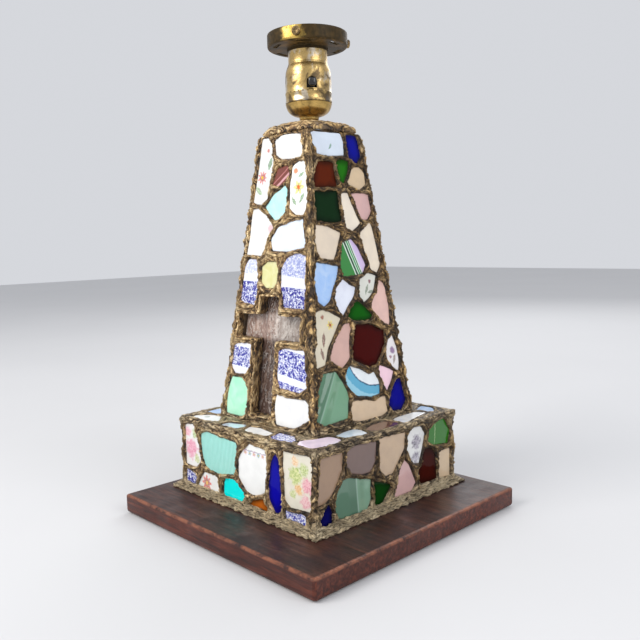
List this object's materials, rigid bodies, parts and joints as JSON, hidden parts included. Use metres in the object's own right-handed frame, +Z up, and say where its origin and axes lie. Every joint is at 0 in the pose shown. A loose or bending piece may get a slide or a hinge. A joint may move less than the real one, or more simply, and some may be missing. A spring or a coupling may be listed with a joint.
{
  "type": "table lamp",
  "caption": "Tapering square mosaic table lamp on a wooden board, with a recessed cross on its front, a brass switched socket and a screw-held shade holder.",
  "frame": {"origin": "underside of the felt on the lamp's vertical pipe axis", "axes": "+Z up, -Y towards the face with the cross, +X to the right seen from the front"},
  "size_m": [0.216, 0.3163, 0.3665],
  "materials": {
    "mahogany": "worn dark stain and varnish",
    "core_wood": "bare",
    "felt": "matt",
    "brass": "aged, patches of brown patina",
    "steel": "zinc plated",
    "aluminium": "plain",
    "gilt_putty": "grey putty brushed with gold-bronze paint",
    "setting_bed": "matt adhesive",
    "pearl_glass": "pearly, streaked",
    "white_china": "glossy glaze",
    "blue_china": "blue printed, glossy glaze",
    "yellow_china": "glossy glaze",
    "cyan_glass": "opaline",
    "mint_glass": "opaline",
    "maroon_glass": "opaque, glossy",
    "mixed_shards": "mixed china and glass, glossy",
    "liner_card": "plain",
    "phenolic": "black",
    "cord_rubber": "brown"
  },
  "bodies": {
    "lamp": {"base_board": "mahogany", "base_felt": "felt", "base_nut": "brass", "base_washer": "steel", "threaded_pipe": "steel", "board_screw_1": "steel", "board_screw_2": "steel", "board_screw_3": "steel", "board_screw_4": "steel", "plinth_core": "core_wood", "tower_core": "core_wood", "plinth_putty": "gilt_putty", "tower_putty": "gilt_putty", "foot_putty": "gilt_putty", "top_putty": "gilt_putty", "cross_lining": "gilt_putty", "front_bed": "setting_bed", "cross_panel": "pearl_glass", "front_shard_floral_top": "white_china", "front_shard_white_top": "white_china", "front_shard_floral_right": "white_china", "front_shard_white_left": "white_china", "front_shard_bluish": "white_china", "front_shard_white_low": "white_china", "front_shard_maroon": "maroon_glass", "front_shard_cyan": "cyan_glass", "front_shard_mint": "mint_glass", "front_shard_yellow": "yellow_china", "front_shard_blue_upper_left": "blue_china", "front_shard_blue_upper_right": "blue_china", "front_shard_blue_lower_left": "blue_china", "front_shard_blue_lower_right": "blue_china", "tower_right_shards": "mixed_shards", "tower_back_shards": "mixed_shards", "tower_left_shards": "mixed_shards", "plinth_front_shards": "mixed_shards", "plinth_right_shards": "mixed_shards", "plinth_back_shards": "mixed_shards", "plinth_left_shards": "mixed_shards", "ledge_shards": "mixed_shards", "neck_spacer": "brass", "socket_cap": "brass", "socket_shell": "brass", "shell_liner": "liner_card", "socket_body": "phenolic", "bulb_screw_shell": "aluminium", "centre_contact": "brass", "terminal_screw_hot": "brass", "terminal_screw_neutral": "steel", "shade_holder": "brass", "supply_cord": "cord_rubber", "cord_bushing": "phenolic", "plug_body": "phenolic", "plug_blade_left": "brass", "plug_blade_right": "brass"},
    "switch": {"switch_button": "phenolic"},
    "screw_1": {"fitter_screw_1": "brass"},
    "screw_2": {"fitter_screw_2": "brass"},
    "screw_3": {"fitter_screw_3": "brass"},
    "set_screw": {"cap_set_screw": "brass"}
  },
  "joints": [
    {"name": "switch_push", "type": "slide", "parent": "lamp", "child": "switch", "axis": [0.8192, -0.5736, 0], "range_m": [-0.003, 0]},
    {"name": "fitter_screw_1_travel", "type": "slide", "parent": "lamp", "child": "screw_1", "axis": [0.5299, -0.848, 0], "range_m": [0, 0.004]},
    {"name": "fitter_screw_2_travel", "type": "slide", "parent": "lamp", "child": "screw_2", "axis": [0.4695, 0.8829, 0], "range_m": [0, 0.004]},
    {"name": "fitter_screw_3_travel", "type": "slide", "parent": "lamp", "child": "screw_3", "axis": [-0.9994, -0.0349, 0], "range_m": [0, 0.004]},
    {"name": "set_screw_travel", "type": "slide", "parent": "lamp", "child": "set_screw", "axis": [-0.342, 0.9397, 0], "range_m": [0, 0.003]}
  ]
}
